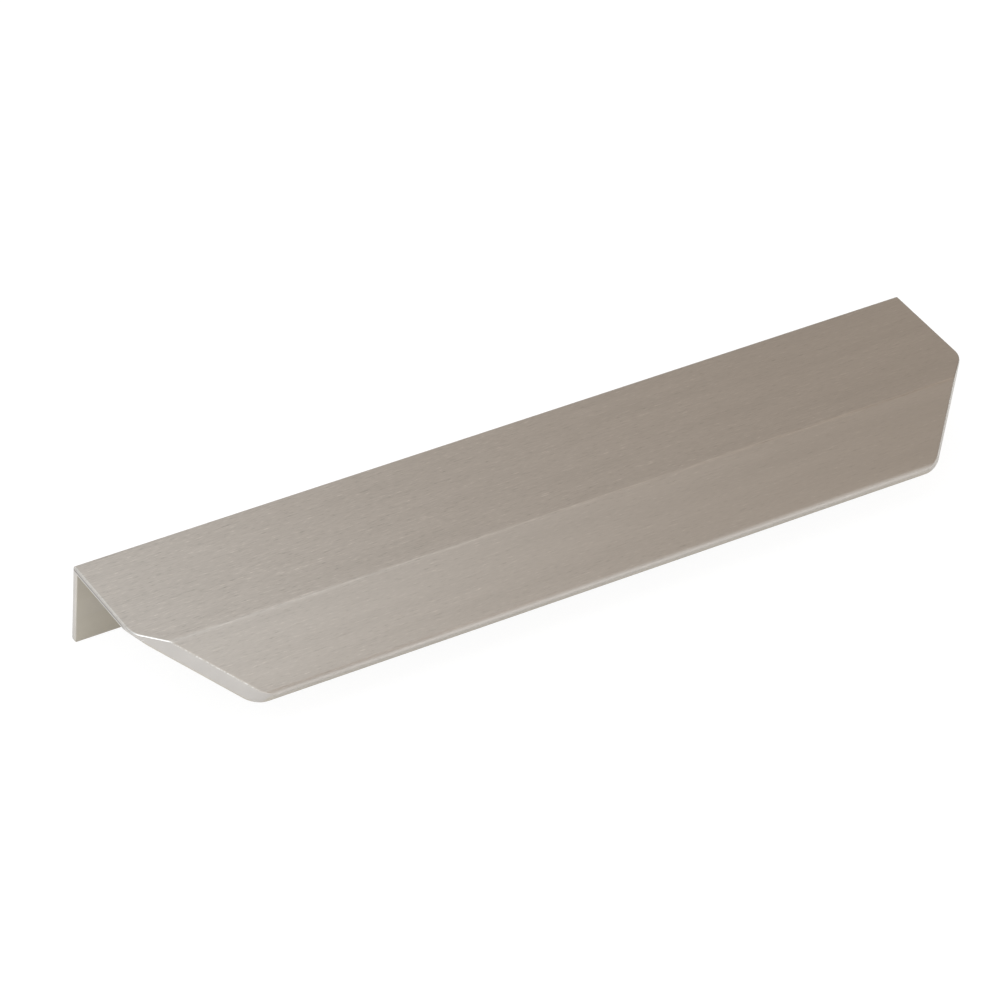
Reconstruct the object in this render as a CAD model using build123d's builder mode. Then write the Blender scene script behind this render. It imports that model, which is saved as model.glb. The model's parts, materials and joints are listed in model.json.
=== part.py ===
from build123d import *
import math
import os

# A profile handle for the top edge of a drawer or door front, in millimetres and degrees.
# X runs along the handle, -Y points to the room and +Z is up.
# The origin is on the flange's seat face, midway between the two screw holes.

# Overall length of the cut bar
length = 200.0

# Section: a flange behind the panel, a plate over its edge and a thicker sloping lip in front
wall = 1.4
flange_height = 19.0
crease_depth = 29.6
lip_angle = 30.0
lip_length = 17.0
lip_thickness = 3.5

# Depth that is cut away under the lip after the ends are finished, which leaves its lower edges sharp
spare_depth = 2.0

# Rounding of the section's corners
heel_radius = 0.45
seat_radius = 0.5
flange_tip_radius = 0.45
crease_radius = 1.5
underside_radius = 4.0
front_edge_radius = 1.0
lower_edge_radius = 0.45

# Ends, seen from above: square at the back, then slanting in towards the front
end_cut_start = 23.8
end_cut_angle = 44.0
end_corner_radius = 5.0
front_corner_radius = 6.0
flange_corner_radius = 0.8
edge_break = 0.35

# Slanting flat that eases the plate's lower corner at each end
corner_ease = 0.75
corner_ease_angle = 42.0

# Screw holes through the flange, countersunk from behind
hole_count = 2
hole_spacing = 160.0
hole_drop = 10.5
hole_diameter = 4.2
countersink_diameter = 6.4
countersink_angle = 90.0

# Heights and depths that follow from the sizes
half_length = length / 2
top = hole_drop
underside = top - wall
flange_foot = top - flange_height
end_cut_y = wall - end_cut_start

# The lip's directions in the section: down its slope, and down through its thickness
slope = math.radians(lip_angle)
lip_run = Vector(-math.cos(slope), -math.sin(slope))
lip_down = Vector(math.sin(slope), -math.cos(slope))

# The section's corners, as Y and Z
heel = Vector(wall, top)
crease = Vector(wall - crease_depth, top)
front_top = crease + lip_run * lip_length
front_foot = front_top + lip_down * lip_thickness
underside_turn = Vector(front_foot.X + (underside - front_foot.Y) / math.tan(slope), underside)
seat_corner = Vector(0, underside)
tip_front = Vector(0, flange_foot)
tip_back = Vector(wall, flange_foot)

# The bar before the finger room is cut has a deeper lip
deep_foot = front_foot + lip_down * spare_depth
deep_corners = [
    (heel, heel_radius),
    (crease, crease_radius),
    (front_top, front_edge_radius),
    (deep_foot, lower_edge_radius),
    (underside_turn, underside_radius),
    (seat_corner, seat_radius),
    (tip_front, flange_tip_radius),
    (tip_back, flange_tip_radius),
]

# The finger room's section: under the plate, down the lip and round its front edge
room_corners = [
    underside_turn,
    front_foot,
    front_foot - lip_down * lower_edge_radius * 2,
    deep_foot + lip_run * spare_depth,
    deep_foot + lip_down * spare_depth,
    underside_turn - Vector(0, lip_length),
    underside_turn + Vector(lip_thickness, -lip_thickness),
    underside_turn + Vector(lip_thickness, 0),
]

# The plane of the lip's front face leans back under the lip
front_plane = Plane(
    origin=(0, front_top.X, front_top.Y),
    x_dir=(1, 0, 0),
    z_dir=(0, lip_run.X, lip_run.Y),
)
outline_front = front_top.X - (top - front_top.Y) * math.tan(slope)
end_inset = (end_cut_y - outline_front) * math.tan(math.radians(end_cut_angle))

# The planes of the eased lower corners, which touch the rounded end corners a third of their way round
corner_middle = math.radians(end_cut_angle / 2)
corner_third = math.radians(end_cut_angle / 3)
ease_tilt = math.radians(corner_ease_angle)
ease_planes = []
for side in (-1, 1):
    inward = Vector(-side * math.cos(corner_middle), math.sin(corner_middle))
    outward = Vector(side * math.cos(corner_third), -math.sin(corner_third))
    corner = Vector(side * half_length, end_cut_y)
    arc_centre = corner + inward * (end_corner_radius / math.cos(corner_middle))
    ease_top = arc_centre + outward * end_corner_radius + Vector(0, 0, underside + corner_ease)
    ease_planes.append(
        Plane(
            origin=ease_top,
            x_dir=outward.cross(Vector(0, 0, 1)),
            z_dir=outward * math.cos(ease_tilt) - Vector(0, 0, math.sin(ease_tilt)),
        )
    )

# The room that the handle fills: its outline from above, closed in front by the front face's plane
with BuildPart() as outline:
    with BuildSketch(Plane.XY.offset(flange_foot)):
        with BuildLine():
            Polyline(
                (half_length, wall),
                (half_length, end_cut_y),
                (half_length - end_inset, outline_front),
                (end_inset - half_length, outline_front),
                (-half_length, end_cut_y),
                (-half_length, wall),
                close=True,
            )
        make_face()
    extrude(amount=flange_height)
    split(bisect_by=front_plane, keep=Keep.BOTTOM)

# The same room with its upright end corners rounded, which the bar is first cut to
with BuildPart() as end_trim:
    add(outline.part)
    upright = end_trim.edges().filter_by(Axis.Z).group_by(Axis.Y)
    fillet(upright[0], radius=end_corner_radius)

# The same room with its front corners and the flange's lower corners rounded, for the last cut
with BuildPart() as corner_trim:
    add(outline.part)
    front_face = corner_trim.faces().sort_by(Axis.Y)[0]
    fillet(front_face.edges().filter_by(Axis.X, reverse=True), radius=front_corner_radius)
    foot_face = corner_trim.faces().sort_by(Axis.Z)[0]
    fillet(foot_face.edges().filter_by(Axis.Y), radius=flange_corner_radius)


def runs_along_bar(face):
    """True for a face of the extruded section, whose normal lies in the section's plane."""
    normal = face.normal_at()
    return normal.project_to_plane(Plane.YZ) == normal


# The bar itself: extruded, cut to its ends, edges broken, hollowed, corners rounded and drilled
with BuildPart() as handle:
    with BuildSketch(Plane.YZ) as section:
        with BuildLine():
            Polyline(*[corner for corner, radius in deep_corners], close=True)
        make_face()
        for corner, radius in deep_corners:
            fillet(section.vertices().sort_by_distance(corner)[0], radius=radius)
    extrude(amount=half_length, both=True)
    add(end_trim.part, mode=Mode.INTERSECT)

    # Break the edges all round both ends
    sides = handle.faces().filter_by(runs_along_bar)
    ends = handle.faces() - sides
    fillet(ends.edges() & sides.edges(), radius=edge_break)

    # Cut the finger room, so that the lip's lower edges stay sharp
    with BuildSketch(Plane.YZ) as room:
        with BuildLine():
            Polyline(*room_corners, close=True)
        make_face()
        fillet(room.vertices().sort_by_distance(underside_turn)[0], radius=underside_radius)
        fillet(room.vertices().sort_by_distance(front_foot)[0], radius=lower_edge_radius)
    extrude(amount=half_length, both=True, mode=Mode.SUBTRACT)

    # Ease the plate's lower corners
    with Locations(*ease_planes):
        Box(
            end_corner_radius * 2,
            wall * 3,
            wall,
            align=(Align.CENTER, Align.CENTER, Align.MIN),
            mode=Mode.SUBTRACT,
        )

    add(corner_trim.part, mode=Mode.INTERSECT)
    with Locations(Plane(origin=(0, wall, 0), x_dir=(1, 0, 0), z_dir=(0, 1, 0))):
        with GridLocations(hole_spacing, 0, hole_count, 1):
            CounterSinkHole(
                radius=hole_diameter / 2,
                counter_sink_radius=countersink_diameter / 2,
                depth=wall,
                counter_sink_angle=countersink_angle,
            )

os.makedirs("parts", exist_ok=True)
handle.part.label = "handle_profile"
export_step(handle.part, "parts/handle_profile.step")
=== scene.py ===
"""A brushed metal profile handle: a bar of one section, cut slanting at both ends and drilled for two screws."""

import json
import math

import bpy
from mathutils import Matrix, Vector


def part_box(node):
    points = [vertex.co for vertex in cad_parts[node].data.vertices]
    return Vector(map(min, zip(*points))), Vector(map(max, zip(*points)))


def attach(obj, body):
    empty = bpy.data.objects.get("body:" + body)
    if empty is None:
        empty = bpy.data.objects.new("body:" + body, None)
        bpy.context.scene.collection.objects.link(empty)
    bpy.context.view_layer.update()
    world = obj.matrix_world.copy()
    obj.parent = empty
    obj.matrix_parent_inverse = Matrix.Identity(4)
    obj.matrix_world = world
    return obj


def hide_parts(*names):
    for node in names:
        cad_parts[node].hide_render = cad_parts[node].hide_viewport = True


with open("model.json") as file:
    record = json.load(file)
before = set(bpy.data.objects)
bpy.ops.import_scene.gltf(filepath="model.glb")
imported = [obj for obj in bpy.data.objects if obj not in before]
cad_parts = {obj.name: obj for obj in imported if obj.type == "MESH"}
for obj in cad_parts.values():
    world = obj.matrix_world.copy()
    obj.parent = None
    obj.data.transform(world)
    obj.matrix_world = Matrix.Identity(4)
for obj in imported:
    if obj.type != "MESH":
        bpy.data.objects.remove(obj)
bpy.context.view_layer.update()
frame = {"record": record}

bl_info = {
    "name": "Profile handle",
    "version": (1, 0, 0),
    "blender": (4, 5, 0),
    "location": "3D View > Sidebar > Handle",
    "description": "Builds a brushed profile handle with slanting ends, and a plain studio for it",
    "category": "Add Mesh",
}

MM = 0.001
BAR_LOW, BAR_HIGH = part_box("handle_profile")
SCREW_HOLES = next(m["dims"] for m in frame["record"]["mounts"] if m["kind"] == "bolt_pattern")


def length_prop(name, description, default):
    """A size in metres."""
    return bpy.props.FloatProperty(
        name=name, description=description, default=default, min=0.0, precision=5, unit="LENGTH"
    )


def angle_prop(name, description, degrees):
    """An angle, given in degrees and kept in radians."""
    return bpy.props.FloatProperty(
        name=name, description=description, default=math.radians(degrees), unit="ROTATION"
    )


def colour_prop(name, description, default):
    """A linear colour."""
    return bpy.props.FloatVectorProperty(
        name=name, description=description, default=default, size=3, min=0.0, max=1.0, subtype="COLOR"
    )


def share_prop(name, description, default, highest=1.0):
    """A plain number from nothing up to its highest value."""
    return bpy.props.FloatProperty(
        name=name, description=description, default=default, min=0.0, max=highest, subtype="FACTOR"
    )


class BarSizes(bpy.types.PropertyGroup):
    """Sizes of the bar's section, its ends and its screw holes."""

    length: length_prop("Length", "Overall length of the bar", BAR_HIGH.x - BAR_LOW.x)
    wall: length_prop("Wall", "Thickness of the flange and the plate", BAR_HIGH.y)
    top: length_prop("Top", "Height of the plate's top over the screw line", BAR_HIGH.z)
    flange_height: length_prop("Flange height", "Height of the flange with the plate", BAR_HIGH.z - BAR_LOW.z)
    plate_depth: length_prop("Plate depth", "From the flange's back to the crease", 29.6 * MM)
    lip_angle: angle_prop("Lip angle", "Fall of the lip from the plate", 30)
    lip_length: length_prop("Lip length", "From the crease down to the front edge", 17 * MM)
    lip_thickness: length_prop("Lip thickness", "Thickness of the sloping lip", 3.5 * MM)
    heel_radius: length_prop("Heel radius", "Outer corner of flange and plate", 0.45 * MM)
    seat_radius: length_prop("Seat radius", "Inner corner of flange and plate", 0.5 * MM)
    tip_radius: length_prop("Tip radius", "Lower edges of the flange", 0.45 * MM)
    crease_radius: length_prop("Crease radius", "Top of the crease", 1.5 * MM)
    underside_radius: length_prop("Underside radius", "Inner side of the crease", 4 * MM)
    front_radius: length_prop("Front radius", "Upper front edge of the lip", 1 * MM)
    lower_radius: length_prop("Lower radius", "Lower front edge of the lip", 0.45 * MM)
    end_start: length_prop("End cut start", "From the flange's back to the slanting cut", 23.8 * MM)
    end_angle: angle_prop("End cut angle", "How far the cut turns in", 44)
    end_radius: length_prop("End corner radius", "Corner where the slanting cut starts", 5 * MM)
    corner_radius: length_prop("Front corner radius", "Corner of the cut and the front edge", 6 * MM)
    foot_radius: length_prop("Foot corner radius", "Lower corners of the flange", 0.8 * MM)
    edge_break: length_prop("Edge break", "Rounding of the edges round both ends", 0.35 * MM)
    ease_height: length_prop("Ease height", "How high the plate's lower corners are eased", 0.75 * MM)
    ease_angle: angle_prop("Ease angle", "Tilt of the flat that eases them", 42)
    hole_count: bpy.props.IntProperty(
        name="Holes", description="Screw holes along the flange", default=SCREW_HOLES["count"], min=1
    )
    hole_spacing: length_prop("Hole spacing", "Between the outer screw holes", SCREW_HOLES["spacing_x_mm"] * MM)
    hole_diameter: length_prop("Hole diameter", "Of the straight part of a hole", 2 * SCREW_HOLES["hole_r_mm"] * MM)
    sink_diameter: length_prop("Countersink diameter", "At the flange's back", 6.4 * MM)
    sink_angle: angle_prop("Countersink angle", "Full angle of the cone", 90)


class MetalFinish(bpy.types.PropertyGroup):
    """Colours and grain of the brushed metal, with its painted highlights and painted shade line."""

    metal: colour_prop("Metal", "Colour of the brushed metal", (0.50, 0.468, 0.432))
    inner: colour_prop("Inner side", "Colour of the plain side that faces the panel", (0.493, 0.456, 0.392))
    cut: colour_prop("Cut end", "Colour of the lip's cut end", (0.505, 0.48, 0.455))
    # Partly a painted highlight: the broken edges are painted lighter than the metal, partly as worn metal
    edge: colour_prop("Broken edge", "Colour of the edges round the ends", (0.56, 0.53, 0.49))
    # Partly a painted highlight: a near-white colour on the slanting edges that stands for their bright glints,
    # partly rubbed-bare metal
    bare_and_highlight: colour_prop("Bare metal", "Colour of the slanting edges where they are rubbed bare", (0.95, 0.94, 0.92))
    # A painted shade: a dark line along the middle of the plate's cut end
    core: colour_prop("Plate's core", "Colour of the line along the plate's cut end", (0.22, 0.205, 0.19))
    roughness: share_prop("Roughness", "Of the brushed faces", 0.40)
    grain_length: length_prop("Grain length", "Length of a short scratch", 1.6 * MM)
    grain_width: length_prop("Grain width", "Width of a short scratch", 0.22 * MM)
    grain_contrast: share_prop("Grain contrast", "How much the grain shades the metal", 0.085)
    grain_depth: length_prop("Grain depth", "Height of the grain's relief", 0.003 * MM)
    grain_fade: share_prop("Grain fade", "How much fainter the grain is at the right end", 0.55)
    # A painted highlight along the crease's ridge, partly rubbed metal
    ridge_highlight: share_prop("Ridge shine", "How much lighter the crease's ridge is", 0.12)


class StudioLook(bpy.types.PropertyGroup):
    """Floor, lights and camera of the plain studio."""

    floor: colour_prop("Floor", "Colour of the floor", (0.9, 0.9, 0.9))
    front_wall: colour_prop("Front", "Light from in front of the handle", (0.93, 0.93, 0.93))
    back_wall: colour_prop("Back", "Light from behind the handle", (0.469, 0.439, 0.413))
    left_wall: colour_prop("Left", "Light from the handle's left", (0.40, 0.53, 0.64))
    ceiling: colour_prop("Ceiling", "Light from above", (0.429, 0.334, 0.248))
    lens: bpy.props.FloatProperty(
        name="Lens", description="Focal length on a sensor 36 mm wide", default=209.85, unit="CAMERA"
    )


class Wire:
    """A node's output. Sums written with wires become Math nodes in the same tree."""

    def __init__(self, sheet, socket):
        self.sheet = sheet
        self.socket = socket

    def __getitem__(self, name):
        """Another output of the same node."""
        return Wire(self.sheet, find_socket(self.socket.node.outputs, name))

    def __add__(self, other):
        return self.sheet.sum("ADD", self, other)

    def __radd__(self, other):
        return self.sheet.sum("ADD", other, self)

    def __sub__(self, other):
        return self.sheet.sum("SUBTRACT", self, other)

    def __rsub__(self, other):
        return self.sheet.sum("SUBTRACT", other, self)

    def __mul__(self, other):
        return self.sheet.sum("MULTIPLY", self, other)

    def __rmul__(self, other):
        return self.sheet.sum("MULTIPLY", other, self)

    def __truediv__(self, other):
        return self.sheet.sum("DIVIDE", self, other)

    def __rtruediv__(self, other):
        return self.sheet.sum("DIVIDE", other, self)

    def __mod__(self, other):
        return self.sheet.sum("FLOORED_MODULO", self, other)

    def __abs__(self):
        return self.sheet.sum("ABSOLUTE", self)


def find_socket(sockets, key):
    """A socket by its place, or the first one in use that has that name."""
    if isinstance(key, int):
        return sockets[key]
    return next(s for s in sockets if s.enabled and s.name == key)


class NodeSheet:
    """Writes the nodes of one tree."""

    def __init__(self, tree):
        self.tree = tree

    def node(self, kind, settings=None, sockets=None, output=0):
        """Adds a node: its settings first, then the values or wires of its sockets."""
        made = self.tree.nodes.new(kind)
        for name, value in (settings or {}).items():
            if name == "items":
                for _ in range(value - len(made.index_switch_items)):
                    made.index_switch_items.new()
            else:
                setattr(made, name, value)
        for key, value in (sockets or {}).items():
            socket = find_socket(made.inputs, key)
            if isinstance(value, Wire):
                self.tree.links.new(value.socket, socket)
            else:
                socket.default_value = value
        return Wire(self, find_socket(made.outputs, output)) if made.outputs else made

    def sum(self, operation, *terms):
        """The result of a Math node."""
        return self.node("ShaderNodeMath", {"operation": operation}, dict(enumerate(terms)))

    def sine(self, angle):
        return self.sum("SINE", angle)

    def cosine(self, angle):
        return self.sum("COSINE", angle)

    def tangent(self, angle):
        return self.sum("TANGENT", angle)

    def clamp(self, value, low=0.0, high=1.0):
        """A value kept between two bounds."""
        return self.sum("MINIMUM", self.sum("MAXIMUM", value, low), high)

    def join(self, x, y, z):
        """A vector made of three values."""
        return self.node("ShaderNodeCombineXYZ", None, {"X": x, "Y": y, "Z": z})

    def split(self, vector):
        """A vector's values, to be read by the names X, Y and Z."""
        return self.node("ShaderNodeSeparateXYZ", None, {0: vector})

    def vector(self, operation, *terms):
        """The result of a Vector Math node."""
        return self.node("ShaderNodeVectorMath", {"operation": operation}, dict(enumerate(terms)))

    def scale(self, vector, strength):
        """A vector or colour times a number."""
        return self.node("ShaderNodeVectorMath", {"operation": "SCALE"}, {0: vector, "Scale": strength})

    def blend(self, data_type, share, low, high):
        """A colour or vector between two others."""
        sockets = {"Factor": share, "A": low, "B": high}
        return self.node("ShaderNodeMix", {"data_type": data_type}, sockets, output="Result")

    def pick(self, data_type, index, values):
        """One of several values, by its place in the list."""
        places = {place + 1: value for place, value in enumerate(values)}
        settings = {"data_type": data_type, "items": len(values)}
        return self.node("GeometryNodeIndexSwitch", settings, {0: index, **places})


# Fineness of the bar's mesh
ARC_POINTS = 8
RUN_CUTS = 44
RIM_STEPS = 4
WALL_STEPS = 6
SHORT_RUN = 2 * MM
MERGE_GAP = 0.001 * MM
SHARP_ANGLE = math.radians(36)
HOLE_SIDES = 64

BAR_SOCKETS = (
    "length", "wall", "top", "flange_height", "plate_depth", "lip_angle", "lip_length", "lip_thickness",
    "heel_radius", "seat_radius", "tip_radius", "crease_radius", "underside_radius", "front_radius",
    "lower_radius", "end_start", "end_angle", "end_radius", "corner_radius", "foot_radius", "edge_break",
    "ease_height", "ease_angle",
)
HOLE_SOCKETS = ("wall", "hole_count", "hole_spacing", "hole_diameter", "sink_diameter", "sink_angle")


def new_tree(name, owner, size_names, takes_geometry=False):
    """A geometry tree with an input for each named size, and its wires by those names."""
    tree = bpy.data.node_groups.new(name, "GeometryNodeTree")
    if takes_geometry:
        tree.interface.new_socket("Geometry", in_out="INPUT", socket_type="NodeSocketGeometry")
    labels = {}
    for size in size_names:
        prop = owner.bl_rna.properties[size]
        kind = "NodeSocketInt" if prop.type == "INT" else "NodeSocketFloat"
        tree.interface.new_socket(prop.name, in_out="INPUT", socket_type=kind)
        labels[size] = prop.name
    tree.interface.new_socket("Finish", in_out="INPUT", socket_type="NodeSocketMaterial")
    tree.interface.new_socket("Geometry", in_out="OUTPUT", socket_type="NodeSocketGeometry")
    sheet = NodeSheet(tree)
    given = sheet.node("NodeGroupInput")
    return sheet, given, {size: given[label] for size, label in labels.items()}


def rounded_path(sheet, corners, radii):
    """A path through the corners, each rounded by its radius, with its long runs divided evenly."""
    index = sheet.node("GeometryNodeInputIndex")
    line = sheet.node("GeometryNodeCurvePrimitiveLine", {"mode": "POINTS"}, {"End": (1, 0, 0)})
    line = sheet.node("GeometryNodeResampleCurve", None, {"Curve": line, "Count": len(corners)})
    places = sheet.pick("VECTOR", index, [sheet.join(0.0, y, z) for y, z in corners])
    path = sheet.node("GeometryNodeSetPosition", None, {"Geometry": line, "Position": places})
    path = sheet.node(
        "GeometryNodeFilletCurve",
        {"mode": "POLY"},
        {"Curve": path, "Count": ARC_POINTS, "Radius": sheet.pick("FLOAT", index, radii)},
    )
    along = sheet.node("GeometryNodeSplineParameter", output="Length")
    following = sheet.node(
        "GeometryNodeFieldAtIndex", {"data_type": "FLOAT"}, {"Value": along, "Index": index + 1}
    )
    is_run = sheet.sum("GREATER_THAN", following - along, SHORT_RUN)
    return sheet.node("GeometryNodeSubdivideCurve", None, {"Curve": path, "Cuts": is_run * RUN_CUTS})


def bar_tree(sizes):
    """The bar: two paths round the section, joined across the wall, with both ends set by a rule."""
    sheet, given, s = new_tree("Profile bar", sizes, BAR_SOCKETS)
    sine, cosine, tangent = sheet.sine, sheet.cosine, sheet.tangent

    # Corners of the section, as depth and height
    underside = s["top"] - s["wall"]
    foot = s["top"] - s["flange_height"]
    slope_cos, slope_sin = cosine(s["lip_angle"]), sine(s["lip_angle"])
    crease_y = s["wall"] - s["plate_depth"]
    front_y = crease_y - s["lip_length"] * slope_cos
    front_z = s["top"] - s["lip_length"] * slope_sin
    lower_y = front_y + s["lip_thickness"] * slope_sin
    lower_z = front_z - s["lip_thickness"] * slope_cos
    turn_y = lower_y + (underside - lower_z) / tangent(s["lip_angle"])
    tip = (s["wall"] * 0.5, foot)
    front = ((front_y + lower_y) * 0.5, (front_z + lower_z) * 0.5)

    # The outer path goes up the back and over the top, the inner one up the seat and under the plate
    outer = rounded_path(
        sheet,
        [tip, (s["wall"], foot), (s["wall"], s["top"]), (crease_y, s["top"]), (front_y, front_z), front],
        [0.0, s["tip_radius"], s["heel_radius"], s["crease_radius"], s["front_radius"], 0.0],
    )
    inner = rounded_path(
        sheet,
        [tip, (0.0, foot), (0.0, underside), (turn_y, underside), (lower_y, lower_z), front],
        [0.0, s["tip_radius"], s["seat_radius"], s["underside_radius"], s["lower_radius"], 0.0],
    )

    # A grid with one row for each pair of path points, and columns across one end and back across the other
    across = 2 * RIM_STEPS + WALL_STEPS + 1
    columns = 2 * across + 1
    rows = sheet.node("GeometryNodeAttributeDomainSize", {"component": "CURVE"}, {"Geometry": outer})
    grid = sheet.node("GeometryNodeMeshGrid", None, {"Vertices X": rows["Point Count"], "Vertices Y": columns})
    index = sheet.node("GeometryNodeInputIndex")
    row = sheet.sum("FLOOR", (index + 0.5) / columns)
    column = (index - row * columns) % (2 * across)
    middle = across - 0.5
    side = sheet.sum("SIGN", middle - column)
    step = sheet.sum("FLOOR", abs(column - middle))

    # Where a column lies: how far round the broken edge, and how far through the wall
    near_step = sheet.sum("MINIMUM", step, (across - 1) - step)
    turn = sheet.sum("MINIMUM", near_step, RIM_STEPS) * (math.pi / 2 / RIM_STEPS)
    inset = s["edge_break"] * (1 - cosine(turn))
    through = sheet.clamp((step - RIM_STEPS) / WALL_STEPS)

    def read(path, value):
        """A value at this row's point of a path."""
        sockets = {"Geometry": path, "Value": value, "Index": row}
        return sheet.node("GeometryNodeSampleIndex", {"data_type": "FLOAT_VECTOR"}, sockets)

    def inset_path(path, inward, share):
        """Points of a path, moved into the wall by a share of the inset."""
        normal = sheet.vector("CROSS_PRODUCT", read(path, direction), (-inward, 0, 0))
        return sheet.vector("ADD", read(path, position), sheet.scale(normal, inset * share))

    # Under the lip, from the end's corner up to its front face, the lower edge is left sharp
    position = sheet.node("GeometryNodeInputPosition")
    direction = sheet.node("GeometryNodeInputTangent")
    below = sheet.split(read(inner, position))
    below_depth = (below["Y"] - front_y) * slope_cos + (below["Z"] - front_z) * slope_sin
    cut_y = s["wall"] - s["end_start"]
    under_lip = sheet.sum("LESS_THAN", below["Y"], cut_y)
    kept = 1 - under_lip * sheet.clamp(below_depth / (2 * s["lower_radius"]))
    place = sheet.split(sheet.blend("VECTOR", through, inset_path(outer, 1, 1.0), inset_path(inner, -1, kept)))
    y, z = place["Y"], place["Z"]

    # The end as seen from above: square, then a rounded corner, then the slanting cut
    cut_cos, cut_sin, cut_tan = cosine(s["end_angle"]), sine(s["end_angle"]), tangent(s["end_angle"])
    arc_y = cut_y + s["end_radius"] * tangent(s["end_angle"] * 0.5)
    arc_turn = sheet.sum("ARCSINE", sheet.clamp((arc_y - y) / s["end_radius"], 0.0, cut_sin))
    arc_cos = cosine(arc_turn)
    past_arc = sheet.sum("MAXIMUM", arc_y - s["end_radius"] * cut_sin - y, 0.0)
    end_x = s["length"] * 0.5 - s["end_radius"] * (1 - arc_cos) - cut_tan * past_arc

    # The corner of that cut and the lip's leaning front, rounded about the line where they meet
    behind_front = (y - front_y) * slope_cos + (z - front_z) * slope_sin
    corner_turn = sheet.sum("ARCCOSINE", cut_sin * slope_cos)
    turned = sheet.sum("ARCCOSINE", 1 - behind_front / s["corner_radius"])
    corner_left = sheet.sum("MAXIMUM", corner_turn - turned, 0.0)
    end_x = end_x - s["corner_radius"] * (1 - cosine(corner_left)) / cut_cos

    # The flange's rounded lower corner
    over_foot = z - foot
    foot_drop = sheet.sum("MAXIMUM", s["foot_radius"] - over_foot, 0.0)
    foot_reach = sheet.sum("SQRT", s["foot_radius"] * s["foot_radius"] - foot_drop * foot_drop)
    end_x = end_x - (s["foot_radius"] - foot_reach)

    # The broken edge fades where a rounded corner already runs into the side
    corner_depth = s["corner_radius"] * (1 - cosine(corner_turn))
    break_share = sheet.clamp(behind_front / corner_depth) * sheet.clamp(over_foot / s["foot_radius"])
    break_share = break_share * (1 - through * (1 - kept))
    end_x = end_x - break_share * s["edge_break"] * (1 - sine(turn)) / arc_cos

    # The flat that eases the plate's lower corner touches the corner's arc a third of its way round
    third_turn = s["end_angle"] / 3
    ease_y = arc_y - s["end_radius"] * sine(third_turn)
    ease_x = s["length"] * 0.5 - s["end_radius"] * (1 - cosine(third_turn))
    ease_rise = (z - underside - s["ease_height"]) * tangent(s["ease_angle"])
    ease_x = ease_x + (ease_rise + (y - ease_y) * sine(third_turn)) / cosine(third_turn)
    past_ease = sheet.sum("GREATER_THAN", y, cut_y + s["end_radius"])
    end_x = sheet.sum("MINIMUM", end_x, ease_x + past_ease * s["length"])

    bar = sheet.node("GeometryNodeSetPosition", None, {"Geometry": grid, "Position": sheet.join(end_x * side, y, z)})

    # Marks that the finish reads: the cut face of an end, its broken edge, and the inner side of the section
    marks = {
        "cut_face": sheet.sum("GREATER_THAN", near_step, RIM_STEPS - 0.5),
        "broken_edge": sine(turn * 2) * break_share,
        "inner_side": 1 - sheet.sum("LESS_THAN", through, 0.5),
    }
    for name, value in marks.items():
        bar = sheet.node(
            "GeometryNodeStoreNamedAttribute",
            {"data_type": "FLOAT", "domain": "POINT"},
            {"Geometry": bar, "Name": name, "Value": value},
        )
    bar = sheet.node("GeometryNodeMergeByDistance", None, {"Geometry": bar, "Distance": MERGE_GAP})
    bar = sheet.node("GeometryNodeRealizeInstances", None, {"Geometry": bar})
    bar = sheet.node("GeometryNodeSetMaterial", None, {"Geometry": bar, "Material": given["Finish"]})
    sheet.node("NodeGroupOutput", None, {"Geometry": bar})
    return sheet.tree


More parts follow.
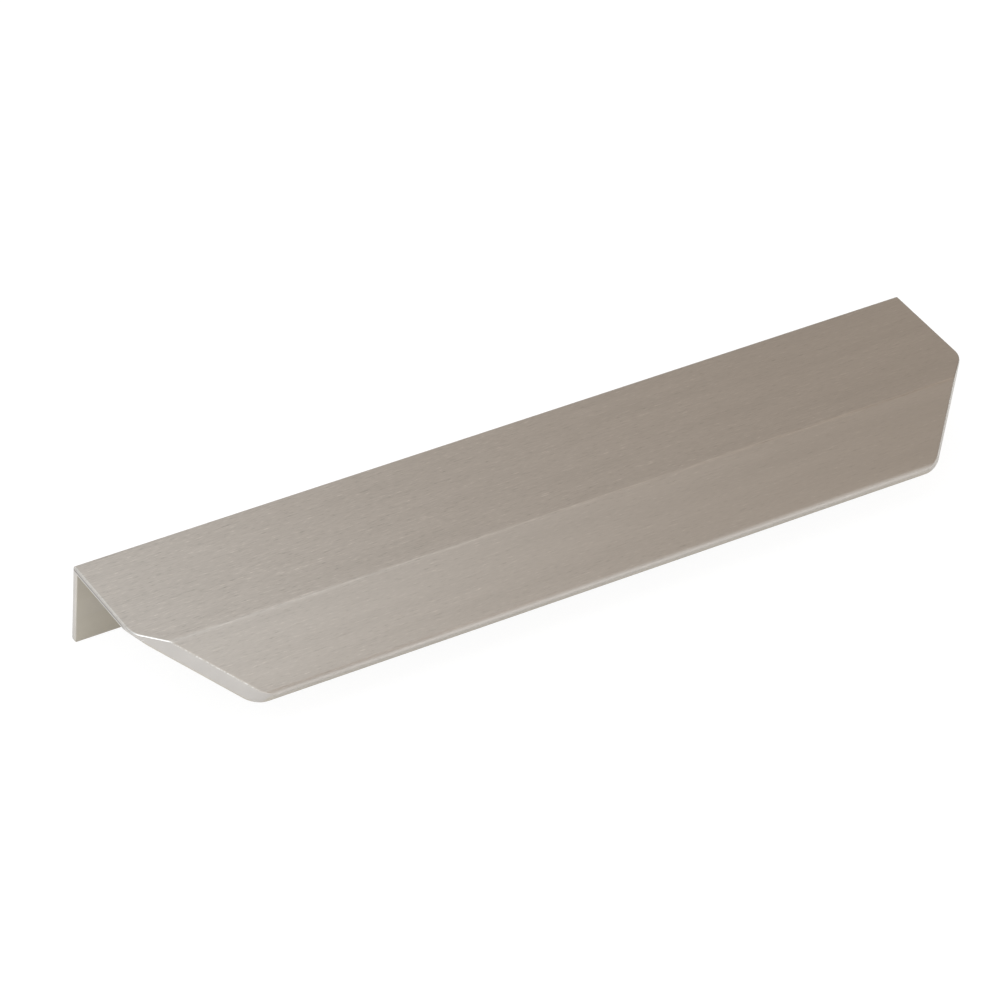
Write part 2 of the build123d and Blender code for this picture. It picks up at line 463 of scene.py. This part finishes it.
def hole_tree(sizes):
    """Countersunk holes, drilled along the flange from behind."""
    sheet, given, s = new_tree("Screw holes", sizes, HOLE_SOCKETS, takes_geometry=True)
    index = sheet.node("GeometryNodeInputIndex")
    hole_radius, sink_radius = s["hole_diameter"] * 0.5, s["sink_diameter"] * 0.5
    sink_tan = sheet.sum("TANGENT", s["sink_angle"] * 0.5)
    cone_start = s["wall"] - (sink_radius - hole_radius) / sink_tan

    # The drill: a tube along its axis, whose radius opens from the straight part to past the back
    axis = sheet.node("GeometryNodeCurvePrimitiveLine", {"mode": "POINTS"}, {"End": (0, 1, 0)})
    axis = sheet.node("GeometryNodeResampleCurve", None, {"Curve": axis, "Count": 4})
    depths = sheet.pick("FLOAT", index, [0.0 - s["wall"], cone_start, s["wall"], s["wall"] * 2])
    radii = [hole_radius, hole_radius, sink_radius, sink_radius + s["wall"] * sink_tan]
    axis = sheet.node(
        "GeometryNodeSetPosition", None, {"Geometry": axis, "Position": sheet.join(0.0, depths, 0.0)}
    )
    axis = sheet.node(
        "GeometryNodeSetCurveRadius", None, {"Curve": axis, "Radius": sheet.pick("FLOAT", index, radii)}
    )
    ring = sheet.node("GeometryNodeCurvePrimitiveCircle", None, {"Resolution": HOLE_SIDES, "Radius": 1.0})
    radius = sheet.node("GeometryNodeInputRadius")
    drill = sheet.node(
        "GeometryNodeCurveToMesh", None, {"Curve": axis, "Profile Curve": ring, "Fill Caps": True, "Scale": radius}
    )
    half = s["hole_spacing"] * 0.5
    line = sheet.node(
        "GeometryNodeMeshLine",
        {"mode": "END_POINTS"},
        {
            "Count": s["hole_count"],
            "Start Location": sheet.join(0.0 - half, 0.0, 0.0),
            "Offset": sheet.join(half, 0.0, 0.0),
        },
    )
    drills = sheet.node("GeometryNodeInstanceOnPoints", None, {"Points": line, "Instance": drill})
    drills = sheet.node("GeometryNodeRealizeInstances", None, {"Geometry": drills})
    drilled = sheet.node(
        "GeometryNodeMeshBoolean",
        {"operation": "DIFFERENCE", "solver": "EXACT"},
        {"Mesh 1": given["Geometry"], "Mesh 2": drills},
    )
    angle = sheet.node("GeometryNodeInputMeshEdgeAngle", output="Unsigned Angle")
    smooth = sheet.sum("LESS_THAN", angle, SHARP_ANGLE)
    drilled = sheet.node("GeometryNodeSetShadeSmooth", None, {"Geometry": drilled, "Shade Smooth": True})
    drilled = sheet.node(
        "GeometryNodeSetShadeSmooth", {"domain": "EDGE"}, {"Geometry": drilled, "Shade Smooth": smooth}
    )
    drilled = sheet.node("GeometryNodeRealizeInstances", None, {"Geometry": drilled})
    drilled = sheet.node("GeometryNodeSetMaterial", None, {"Geometry": drilled, "Material": given["Finish"]})
    sheet.node("NodeGroupOutput", None, {"Geometry": drilled})
    return sheet.tree


def add_tree(obj, tree, owner, size_names, finish):
    """Adds a tree to an object as a modifier, with its inputs set from the sizes."""
    modifier = obj.modifiers.new(tree.name, "NODES")
    modifier.node_group = tree
    values = {owner.bl_rna.properties[size].name: getattr(owner, size) for size in size_names}
    values["Finish"] = finish
    for item in tree.interface.items_tree:
        if item.in_out == "INPUT" and item.name in values:
            modifier[item.identifier] = values[item.name]


def settle(obj, finish):
    """Turns what an object's modifiers make into its own plain mesh, of one finish."""
    graph = bpy.context.evaluated_depsgraph_get()
    mesh = bpy.data.meshes.new_from_object(
        obj.evaluated_get(graph), preserve_all_data_layers=True, depsgraph=graph
    )
    obj.modifiers.clear()
    mesh.name = obj.name
    mesh.materials.clear()
    mesh.materials.append(finish)
    obj.data = mesh


# Grain noise lies close about a half, and is spread to about one either way
NOISE_SPREAD = 8.0

# Streaks and drift: their length and width in short scratches, and their share in the grain
STREAK_LENGTH, STREAK_WIDTH, STREAK_SHARE = 5.0, 1.2, 0.5
DRIFT_LENGTH, DRIFT_WIDTH, DRIFT_SHARE = 25.0, 14.0, 0.15

# Many scratches are faint and a few are deep, up to a limit
FAINT_SHARE, DEEP_SHARE, DEEPEST = 0.3, 0.26, 5.0

# The grain that is left on the lip, and on the cut and inner faces
LIP_GRAIN, PLAIN_GRAIN = 0.65, 0.1

# The painted highlight on the crease's ridge: half its width, and how much wider and nearer the plate it gets
# towards the left end
RIDGE_WIDTH, RIDGE_WIDENING, RIDGE_SHIFT = 0.35 * MM, 0.5 * MM, 0.3 * MM
RIDGE_FIRMNESS = 1.3
LEFT_SHARE = 0.4

# The ridge highlight's strength at the left end, its rise along the bar, its most, and how uneven it is
RIDGE_START, RIDGE_RISE, RIDGE_MOST = 0.5, 1.6, 1.3
RIDGE_LIGHT_MEAN, RIDGE_LIGHT_CHANGE, RIDGE_LIGHT_RANGE = 0.8, 0.4, (0.2, 1.2)

# The painted shade line on the plate's cut end: its depth in the wall, half its width, and where it fades
SHADE_LINE_DEPTH, SHADE_LINE_WIDTH, SHADE_LINE_FADE = 0.45, 0.2 * MM, 2 * MM
SHADE_LINE_FIRMNESS = 1.5

# The slanting edges' painted highlight, partly bare metal: its share on the plate's, and the dashes on the lip's
BARE_HIGHLIGHT_SHARE = 0.6
DASH_LENGTH, DASH_WIDTH = 0.55 * MM, 0.45 * MM
DASH_MEAN, DASH_CHANGE, DASH_RANGE = 0.25, 0.4, (0.05, 0.65)

# Broken edges are smoother than the faces, and deep scratches rougher
EDGE_POLISH, SCRATCH_ROUGHNESS = 0.06, 0.01


def grain(sheet, place, length, width, detail=2.0):
    """Noise drawn out along the bar, about nought and mostly within one either way."""
    stretch = sheet.vector("MULTIPLY", place, (1 / length, 1 / width, 1 / width))
    noise = sheet.node(
        "ShaderNodeTexNoise", {"noise_dimensions": "3D"}, {"Vector": stretch, "Scale": 1.0, "Detail": detail}
    )
    return (noise["Fac"] - 0.5) * NOISE_SPREAD


def brushed_metal(sizes, look):
    """Pale metal with a fine grain along the bar, plain on the inner side, and lighter on the broken edges, partly
    as bare metal and partly as painted highlight; painted highlights on the slanting edges and the crease's ridge,
    and a painted shade line on the plate's cut end.
    """
    material = bpy.data.materials.new("brushed_bar")
    material.use_nodes = True
    material.node_tree.nodes.clear()
    sheet = NodeSheet(material.node_tree)
    cut, edge, inner = (
        sheet.node("ShaderNodeAttribute", {"attribute_name": name})["Fac"]
        for name in ("cut_face", "broken_edge", "inner_side")
    )
    place = sheet.node("ShaderNodeTexCoord")["Object"]
    axes = sheet.split(place)
    along, depth, height = axes["X"], axes["Y"], axes["Z"]

    # Where a point is: on a brushed face, on the plate or the lip, and how far along the bar
    crease = sizes.wall - sizes.plate_depth
    brushed = sheet.clamp(1 - cut - inner)
    on_plate = sheet.clamp((depth - crease) / MM + 0.5)
    rightward = sheet.clamp(along / sizes.length + 0.5)
    leftward = sheet.clamp(1 - rightward / LEFT_SHARE)

    # A few deep scratches among many faint ones, fainter on the lip and towards the right end
    length, width = look.grain_length, look.grain_width
    streaks = grain(sheet, place, STREAK_LENGTH * length, STREAK_WIDTH * width)
    drift = grain(sheet, place, DRIFT_LENGTH * length, DRIFT_WIDTH * width, detail=1.0)
    brush = grain(sheet, place, length, width) + STREAK_SHARE * streaks
    brush = sheet.clamp(brush * (FAINT_SHARE + DEEP_SHARE * brush * brush), -DEEPEST, DEEPEST)
    brush = brush * (LIP_GRAIN + (1 - LIP_GRAIN) * on_plate) * (1 - look.grain_fade * rightward)
    brush = brush * (PLAIN_GRAIN + (1 - PLAIN_GRAIN) * brushed)
    tone = 1 + look.grain_contrast * (brush + DRIFT_SHARE * drift)

    # The crease's ridge gets a painted highlight, partly rubbed metal, uneven along the bar, and wider but less at
    # its left end
    off_ridge = abs(depth - crease - RIDGE_SHIFT * leftward) / (RIDGE_WIDTH + RIDGE_WIDENING * leftward)
    ridge_highlight_mask = sheet.clamp(RIDGE_FIRMNESS - off_ridge) * brushed
    ridge_highlight_mask = ridge_highlight_mask * sheet.clamp(RIDGE_START + RIDGE_RISE * rightward, 0.0, RIDGE_MOST)
    tone = tone + look.ridge_highlight * ridge_highlight_mask * sheet.clamp(RIDGE_LIGHT_MEAN + RIDGE_LIGHT_CHANGE * streaks, *RIDGE_LIGHT_RANGE)

    # The plate's cut end gets a painted shade line along its middle, which fades before the slanting cut
    off_shade_line = abs(height - (sizes.top - SHADE_LINE_DEPTH * sizes.wall)) / SHADE_LINE_WIDTH
    before_cut = depth - sizes.wall + sizes.end_start
    core = cut * sheet.clamp(SHADE_LINE_FIRMNESS - off_shade_line) * sheet.clamp(before_cut / SHADE_LINE_FADE - 1)

    # The slanting edges get a near-white painted highlight, partly rubbed-bare metal, on the lip in fine dashes
    dashes = grain(sheet, place, DASH_LENGTH, DASH_WIDTH)
    dashes = sheet.clamp(DASH_MEAN + DASH_CHANGE * dashes, *DASH_RANGE)
    bare_and_highlight = dashes + on_plate * (BARE_HIGHLIGHT_SHARE - dashes)
    bare_and_highlight = bare_and_highlight * sheet.clamp(1 - before_cut / MM) * sheet.clamp(3 * edge - 2) * (1 - inner)

    # Over the metal go the inner side's and the cut's own colours, the lighter broken edges and near-white slanting
    # edges that are partly painted highlight, and the painted shade line
    colour = (*look.metal, 1.0)
    for share, paint in (
        (inner, look.inner), (cut, look.cut), (edge, look.edge), (bare_and_highlight, look.bare_and_highlight), (core, look.core)
    ):
        colour = sheet.blend("RGBA", share, colour, (*paint, 1.0))
    bump = sheet.node("ShaderNodeBump", None, {"Strength": 1.0, "Distance": look.grain_depth, "Height": brush})
    shader = sheet.node(
        "ShaderNodeBsdfPrincipled",
        None,
        {
            "Base Color": sheet.scale(colour, tone),
            "Metallic": 1.0,
            "Roughness": look.roughness - EDGE_POLISH * edge + SCRATCH_ROUGHNESS * brush,
            "Normal": bump,
        },
    )
    sheet.node("ShaderNodeOutputMaterial", None, {"Surface": shader})
    return material


class HANDLE_OT_bar(bpy.types.Operator):
    """Build the handle's bar with its drilled flange and brushed finish"""

    bl_idname = "handle.bar"
    bl_label = "Profile bar"

    def execute(self, context):
        sizes = context.scene.handle_sizes
        finish = brushed_metal(sizes, context.scene.handle_finish)
        bar = bpy.data.objects.new("profile_bar", bpy.data.meshes.new("profile_bar"))
        context.scene.collection.objects.link(bar)
        add_tree(bar, bar_tree(sizes), sizes, BAR_SOCKETS, finish)
        add_tree(bar, hole_tree(sizes), sizes, HOLE_SOCKETS, finish)
        weighted = bar.modifiers.new("Even shading", "WEIGHTED_NORMAL")
        weighted.keep_sharp = True
        settle(bar, finish)
        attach(bar, "root")
        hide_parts("handle_profile")
        return {"FINISHED"}


# Soft boxes: place, aim, width, depth, strength in watts and colour
SOFT_BOXES = {
    "overhead": ((-0.12, 0.24, 0.45), (-0.12, 0.24, 0.0), 0.55, 0.92, 1.77, (0.764, 0.889, 1.0)),
    "front_left": ((-0.53, -0.17, 0.48), (-0.1, -0.02, 0.01), 0.2, 0.2, 0.55, (1.0, 1.0, 1.0)),
}


def soft_box(name, place, aim, width, depth, strength, colour):
    """A soft light of a given size, facing the aim."""
    light = bpy.data.lights.new(name, "AREA")
    light.shape = "RECTANGLE"
    light.size, light.size_y = width, depth
    light.energy = strength
    light.color = colour
    box = bpy.data.objects.new(name, light)
    box.location = place
    box.rotation_euler = (Vector(aim) - Vector(place)).to_track_quat("-Z", "Y").to_euler()
    bpy.context.scene.collection.objects.link(box)


# The photograph's view: turned and tipped about the middle of the plate's back edge
VIEW_TURN = math.radians(34.431)
VIEW_TIP = math.radians(38.066)
VIEW_ROLL = math.radians(4.423)
VIEW_DISTANCE = 1.20316
VIEW_AIM = Vector((0.0, BAR_HIGH.y, BAR_HIGH.z))
VIEW_SHIFT = Vector((-0.00004, -0.0153, 0.0))
SENSOR_WIDTH = 36.0
NEAREST, FURTHEST = 0.05, 50.0


def add_camera(lens):
    """The camera, with the photograph's view."""
    camera = bpy.data.cameras.new("view")
    camera.lens = lens
    camera.sensor_width = SENSOR_WIDTH
    camera.clip_start, camera.clip_end = NEAREST, FURTHEST
    seen = bpy.data.objects.new("view", camera)
    turn = Matrix.Rotation(-VIEW_TURN, 3, "Z") @ Matrix.Rotation(math.pi / 2 - VIEW_TIP, 3, "X")
    turn = turn @ Matrix.Rotation(VIEW_ROLL, 3, "Z")
    place = VIEW_AIM + turn @ (VIEW_SHIFT + Vector((0.0, 0.0, VIEW_DISTANCE)))
    seen.matrix_world = Matrix.LocRotScale(place, turn, None)
    bpy.context.scene.collection.objects.link(seen)
    bpy.context.scene.camera = seen


# The floor: half its width, its glow in the metal and to the camera, and how much shade the camera sees on it
FLOOR_REACH = 6.0
FLOOR_GLOW = 0.295
SEEN_GLOW = 0.93
SEEN_SHADE = 0.15

# Height of the white band along the horizon, as a share of straight up
HORIZON = 0.06


def floor_paint(look):
    """White floor that stays white to the camera and in the metal, and keeps a soft shadow."""
    paint = bpy.data.materials.new("floor_paint")
    paint.use_nodes = True
    paint.node_tree.nodes.clear()
    sheet = NodeSheet(paint.node_tree)
    ray = sheet.node("ShaderNodeLightPath")
    camera = ray["Is Camera Ray"]
    mirrored = sheet.sum("MAXIMUM", ray["Is Glossy Ray"], ray["Is Transmission Ray"])
    matt = sheet.scale(tuple(look.floor), 1 - (1 - SEEN_SHADE) * camera)
    matt = sheet.node("ShaderNodeBsdfDiffuse", None, {"Color": matt})
    strength = camera * SEEN_GLOW + mirrored * FLOOR_GLOW
    glow = sheet.node("ShaderNodeEmission", None, {"Color": (1, 1, 1, 1), "Strength": strength})
    both = sheet.node("ShaderNodeAddShader", None, {0: matt, 1: glow})
    sheet.node("ShaderNodeOutputMaterial", None, {"Surface": both})
    return paint


def studio_world(look):
    """Soft light all round: bright in front, dimmer behind, at the left and above, white along the horizon."""
    world = bpy.data.worlds.new("studio")
    world.use_nodes = True
    world.node_tree.nodes.clear()
    sheet = NodeSheet(world.node_tree)
    way = sheet.split(sheet.node("ShaderNodeTexCoord")["Generated"])
    light = (0.0, 0.0, 0.0)
    for colour, towards in (
        (look.front_wall, 0.0 - way["Y"]),
        (look.back_wall, way["Y"]),
        (look.left_wall, 0.0 - way["X"]),
        (look.ceiling, way["Z"]),
    ):
        light = sheet.vector("ADD", light, sheet.scale(tuple(colour), sheet.sum("MAXIMUM", towards, 0.0)))
    light = sheet.blend("RGBA", sheet.clamp(2 - way["Z"] / HORIZON), light, (1, 1, 1, 1))
    air = sheet.node("ShaderNodeBackground", None, {"Color": light, "Strength": 1.0})
    sheet.node("ShaderNodeOutputWorld", None, {"Surface": air})
    return world


class HANDLE_OT_stage(bpy.types.Operator):
    """Build the floor, the lights and the camera"""

    bl_idname = "handle.stage"
    bl_label = "Studio"

    def execute(self, context):
        look = context.scene.handle_studio
        mesh = bpy.data.meshes.new("floor")
        corners = [(-1, -1), (1, -1), (1, 1), (-1, 1)]
        mesh.from_pydata([(x * FLOOR_REACH, y * FLOOR_REACH, BAR_LOW.z) for x, y in corners], [], [(0, 1, 2, 3)])
        mesh.materials.append(floor_paint(look))
        floor = bpy.data.objects.new("floor", mesh)
        context.scene.collection.objects.link(floor)
        context.scene.world = studio_world(look)
        for name, settings in SOFT_BOXES.items():
            soft_box(name, *settings)
        add_camera(look.lens)
        context.scene.view_settings.view_transform = "Standard"
        return {"FINISHED"}


class HANDLE_PT_panel(bpy.types.Panel):
    """Lists the handle's builders and their settings"""

    bl_idname = "HANDLE_PT_panel"
    bl_label = "Profile handle"
    bl_space_type = "VIEW_3D"
    bl_region_type = "UI"
    bl_category = "Handle"

    def draw(self, context):
        layout = self.layout
        for operator, settings in (
            (HANDLE_OT_bar, context.scene.handle_sizes),
            (None, context.scene.handle_finish),
            (HANDLE_OT_stage, context.scene.handle_studio),
        ):
            if operator:
                layout.operator(operator.bl_idname)
            for name in type(settings).__annotations__:
                layout.prop(settings, name)


CLASSES = (BarSizes, MetalFinish, StudioLook, HANDLE_OT_bar, HANDLE_OT_stage, HANDLE_PT_panel)
SETTINGS = {"handle_sizes": BarSizes, "handle_finish": MetalFinish, "handle_studio": StudioLook}


def register():
    """Makes the classes and their settings known to Blender."""
    for made in CLASSES:
        bpy.utils.register_class(made)
    for name, group in SETTINGS.items():
        setattr(bpy.types.Scene, name, bpy.props.PointerProperty(type=group))


def unregister():
    """Takes the settings and classes out again."""
    for name in SETTINGS:
        delattr(bpy.types.Scene, name)
    for made in reversed(CLASSES):
        bpy.utils.unregister_class(made)


def main():
    """Builds the handle and its studio."""
    register()
    bpy.ops.handle.bar()
    bpy.ops.handle.stage()


if __name__ == "__main__":
    main()
